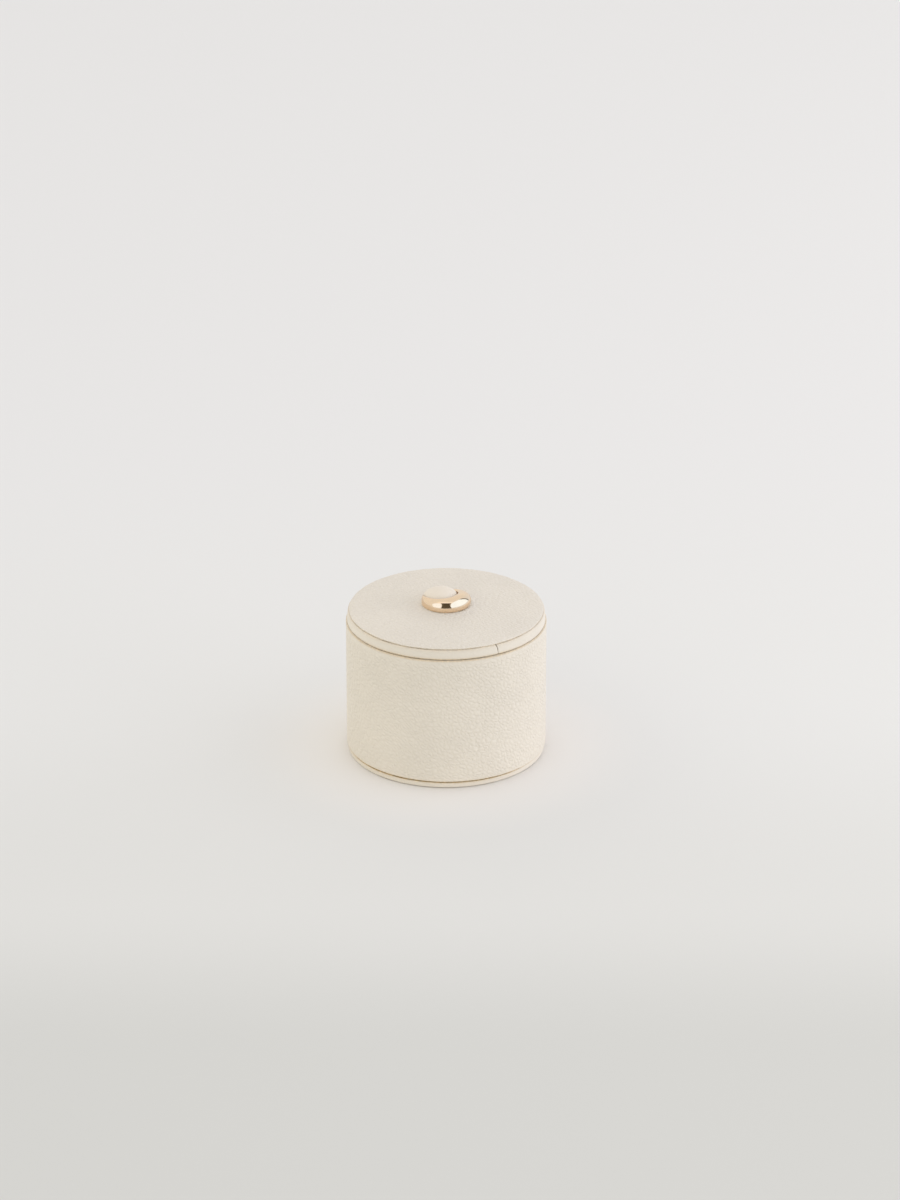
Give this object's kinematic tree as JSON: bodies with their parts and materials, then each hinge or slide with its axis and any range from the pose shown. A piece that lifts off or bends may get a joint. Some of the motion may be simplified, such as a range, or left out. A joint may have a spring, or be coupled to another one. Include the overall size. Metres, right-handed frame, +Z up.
{
  "type": "jewelry case",
  "caption": "Round leather-covered jewelry case with a padded suede well, a lift-off disc lid and a gold crescent knob set with a cream dome.",
  "frame": {"origin": "middle of the underside, on the surface that the case stands on", "axes": "+Z up along the case's axis, -Y towards the front of the picture, +X to its right"},
  "size_m": [0.08, 0.08, 0.0686],
  "materials": {
    "leather": "cream pebble-grain leather, satin",
    "suede": "short-nap suede cloth, matt",
    "board": "grey board, matt",
    "foam": "padding, matt",
    "gold": "polished pale gold plating",
    "cabochon": "cream enamel, soft gloss",
    "steel": "zinc plated"
  },
  "bodies": {
    "case": {"base_pad": "suede", "base_board": "board", "base_cover": "leather", "body_tube": "board", "body_wrap": "leather", "bottom_board": "board", "lining_sleeve": "board", "body_lining": "suede", "floor_card": "board", "floor_foam": "foam", "floor_cover": "suede"},
    "lid": {"lid_board": "board", "lid_band": "leather", "lid_foam": "foam", "lid_cover": "leather", "plug_board": "board", "plug_cover": "suede", "knob_ring": "gold", "knob_dome": "cabochon", "knob_washer": "steel", "knob_nut": "steel"}
  },
  "joints": [
    {"name": "lid_lift", "type": "slide", "parent": "case", "child": "lid", "axis": [0, 0, 1], "range_m": [0, 0.09]}
  ]
}
